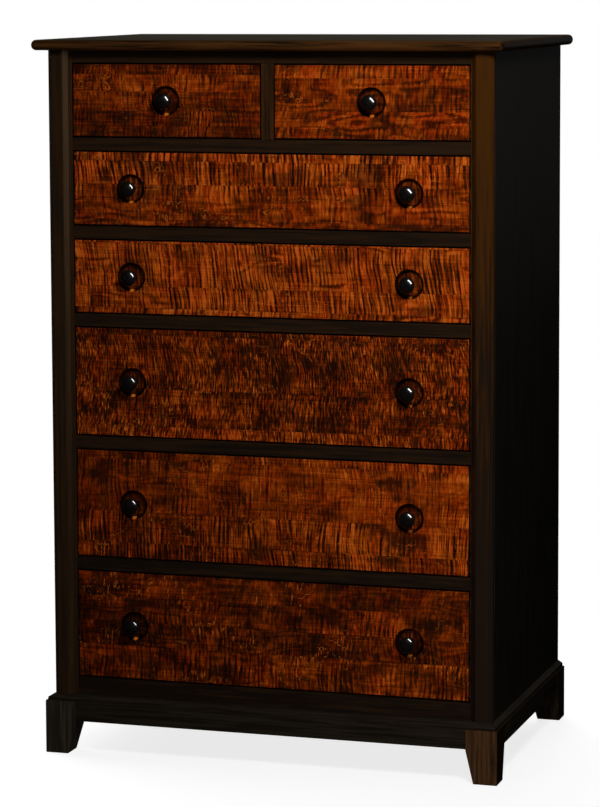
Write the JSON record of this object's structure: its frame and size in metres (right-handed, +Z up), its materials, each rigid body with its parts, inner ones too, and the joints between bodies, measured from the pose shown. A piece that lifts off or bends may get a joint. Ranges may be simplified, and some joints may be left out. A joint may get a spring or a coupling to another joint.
{
  "type": "chest of drawers",
  "caption": "Tall wooden chest with a dark frame, figured wood fronts, round knobs in turned recesses and short tapered feet; small drawers side by side above wide ones.",
  "frame": {"origin": "on the floor, in the middle of the outline seen from above", "axes": "+Z up, the drawers open towards -Y, +X to the right of someone who faces them"},
  "size_m": [0.966, 0.616, 1.445],
  "materials": {
    "dark_frame": "very dark brown stain under satin lacquer",
    "figured_front": "amber figured maple under satin lacquer",
    "drawer_box": "pale wood, thin matt seal",
    "inner_frame": "planed and unfinished",
    "back": "dark stain, matt",
    "knob": "black, polished"
  },
  "bodies": {
    "root": {"top_panel": "dark_frame", "side_panel_right": "dark_frame", "side_panel_left": "dark_frame", "corner_post_right": "dark_frame", "corner_post_left": "dark_frame", "bottom_rail": "dark_frame", "top_rail": "dark_frame", "divider_rail_1": "dark_frame", "divider_rail_2": "dark_frame", "divider_rail_3": "dark_frame", "divider_rail_4": "dark_frame", "divider_rail_5": "dark_frame", "centre_stile": "dark_frame", "plinth_frame": "dark_frame", "aprons": "dark_frame", "foot_front_right": "dark_frame", "foot_front_left": "dark_frame", "foot_rear_right": "dark_frame", "foot_rear_left": "dark_frame", "centre_partition": "inner_frame", "drawer_runners": "inner_frame", "rear_rails": "inner_frame", "top_kickers": "inner_frame", "back_panel": "back"},
    "drawer_1": {"drawer_1_front": "figured_front", "drawer_1_sides": "drawer_box", "drawer_1_back": "drawer_box", "drawer_1_bottom": "drawer_box", "drawer_1_knob": "knob"},
    "drawer_2": {"drawer_2_front": "figured_front", "drawer_2_sides": "drawer_box", "drawer_2_back": "drawer_box", "drawer_2_bottom": "drawer_box", "drawer_2_knob": "knob"},
    "drawer_3": {"drawer_3_front": "figured_front", "drawer_3_sides": "drawer_box", "drawer_3_back": "drawer_box", "drawer_3_bottom": "drawer_box", "drawer_3_knobs": "knob"},
    "drawer_4": {"drawer_4_front": "figured_front", "drawer_4_sides": "drawer_box", "drawer_4_back": "drawer_box", "drawer_4_bottom": "drawer_box", "drawer_4_knobs": "knob"},
    "drawer_5": {"drawer_5_front": "figured_front", "drawer_5_sides": "drawer_box", "drawer_5_back": "drawer_box", "drawer_5_bottom": "drawer_box", "drawer_5_knobs": "knob"},
    "drawer_6": {"drawer_6_front": "figured_front", "drawer_6_sides": "drawer_box", "drawer_6_back": "drawer_box", "drawer_6_bottom": "drawer_box", "drawer_6_knobs": "knob"},
    "drawer_7": {"drawer_7_front": "figured_front", "drawer_7_sides": "drawer_box", "drawer_7_back": "drawer_box", "drawer_7_bottom": "drawer_box", "drawer_7_knobs": "knob"}
  },
  "joints": [
    {"name": "drawer_1_slide", "type": "slide", "parent": "root", "child": "drawer_1", "axis": [0, -1, 0], "range_m": [0, 0.4]},
    {"name": "drawer_2_slide", "type": "slide", "parent": "root", "child": "drawer_2", "axis": [0, -1, 0], "range_m": [0, 0.4]},
    {"name": "drawer_3_slide", "type": "slide", "parent": "root", "child": "drawer_3", "axis": [0, -1, 0], "range_m": [0, 0.4]},
    {"name": "drawer_4_slide", "type": "slide", "parent": "root", "child": "drawer_4", "axis": [0, -1, 0], "range_m": [0, 0.4]},
    {"name": "drawer_5_slide", "type": "slide", "parent": "root", "child": "drawer_5", "axis": [0, -1, 0], "range_m": [0, 0.4]},
    {"name": "drawer_6_slide", "type": "slide", "parent": "root", "child": "drawer_6", "axis": [0, -1, 0], "range_m": [0, 0.4]},
    {"name": "drawer_7_slide", "type": "slide", "parent": "root", "child": "drawer_7", "axis": [0, -1, 0], "range_m": [0, 0.4]}
  ]
}
